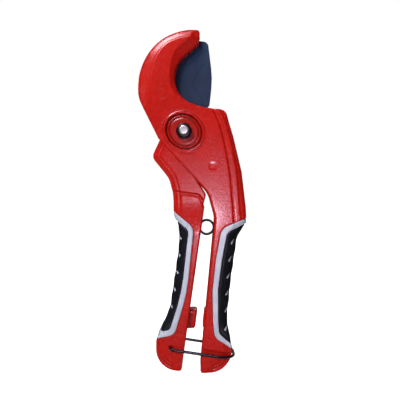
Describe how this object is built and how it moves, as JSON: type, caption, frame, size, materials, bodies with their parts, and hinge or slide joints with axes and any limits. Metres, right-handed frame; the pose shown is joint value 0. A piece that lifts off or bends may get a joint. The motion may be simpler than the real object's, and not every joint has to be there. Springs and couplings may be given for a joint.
{
  "type": "ratchet pipe cutter",
  "caption": "Hand-held ratchet pipe cutter: hook jaw with slotted throat, swinging toothed blade, gripped lever and wire lock loop.",
  "frame": {"origin": "on the main pivot's axis, at mid thickness", "axes": "+Z along the tool towards the hook jaw, +X right across the jaw as seen from the nut side, -Y the nut side"},
  "size_m": [0.0701, 0.0317, 0.2202],
  "materials": {
    "red_enamel": "gloss",
    "grip_grey": "satin",
    "grip_black": "matt",
    "coated_blade": "satin",
    "zinc_steel": "bright",
    "black_steel": "satin",
    "spring_steel": "satin"
  },
  "bodies": {
    "body": {"body_casting": "red_enamel", "pivot_bush": "zinc_steel", "pivot_bolt": "zinc_steel", "pivot_nut": "black_steel", "holding_pawl_pin": "zinc_steel", "fixed_grip_frame": "grip_grey", "fixed_grip_pad": "grip_black", "holding_pawl_spring": "spring_steel"},
    "lever": {"lever_casting": "red_enamel", "drive_pawl_pin": "zinc_steel", "lever_grip_frame": "grip_grey", "lever_grip_pad": "grip_black", "drive_pawl_spring": "spring_steel"},
    "cutter": {"blade": "coated_blade", "blade_spring": "spring_steel"},
    "drive_pawl": {"drive_pawl": "zinc_steel"},
    "holding_pawl": {"holding_pawl": "zinc_steel"},
    "spring_coil": {"return_spring_coil": "spring_steel"},
    "spring_lever_leg": {"return_spring_lever_leg": "spring_steel"},
    "spring_body_leg": {"return_spring_body_leg": "spring_steel"},
    "lock": {"lock_loop": "black_steel"}
  },
  "joints": [
    {"name": "lever_swing", "type": "hinge", "parent": "body", "child": "lever", "pos_m": [0, 0, 0], "axis": [0, 1, 0], "range_deg": [0, 27]},
    {"name": "blade_swing", "type": "hinge", "parent": "body", "child": "cutter", "pos_m": [0, 0, 0], "axis": [0, 1, 0], "range_deg": [0, 67.5]},
    {"name": "drive_pawl_rock", "type": "hinge", "parent": "lever", "child": "drive_pawl", "pos_m": [-0.016, 0, -0.0109], "axis": [0, 1, 0], "range_deg": [-13, 0], "deforming": ["drive_pawl_spring"]},
    {"name": "holding_pawl_rock", "type": "hinge", "parent": "body", "child": "holding_pawl", "pos_m": [0.0183, 0, -0.0221], "axis": [0, 1, 0], "range_deg": [-13, 0], "deforming": ["holding_pawl_spring"]},
    {"name": "lock_swing", "type": "hinge", "parent": "lever", "child": "lock", "pos_m": [-0.0084, 0, -0.1383], "axis": [0, 1, 0], "range_deg": [0, 150]},
    {"name": "spring_coil_follow", "type": "hinge", "parent": "body", "child": "spring_coil", "pos_m": [0, 0, 0], "axis": [0, 1, 0], "range_deg": [0, 15]},
    {"name": "spring_lever_leg_flex", "type": "hinge", "parent": "spring_coil", "child": "spring_lever_leg", "pos_m": [0.0146, 0, -0.0615], "axis": [0, 1, 0], "range_deg": [0, 51]},
    {"name": "spring_body_leg_flex", "type": "hinge", "parent": "spring_coil", "child": "spring_body_leg", "pos_m": [0.0146, 0, -0.0615], "axis": [0, 1, 0], "range_deg": [-51, 0]}
  ],
  "couplings": [
    {"joint": "lock_swing", "follows": "lever_swing", "ratio": 5.5},
    {"joint": "spring_coil_follow", "follows": "lever_swing", "ratio": 0.5},
    {"joint": "spring_lever_leg_flex", "follows": "lever_swing", "ratio": 1.6},
    {"joint": "spring_body_leg_flex", "follows": "lever_swing", "ratio": -1.6}
  ]
}
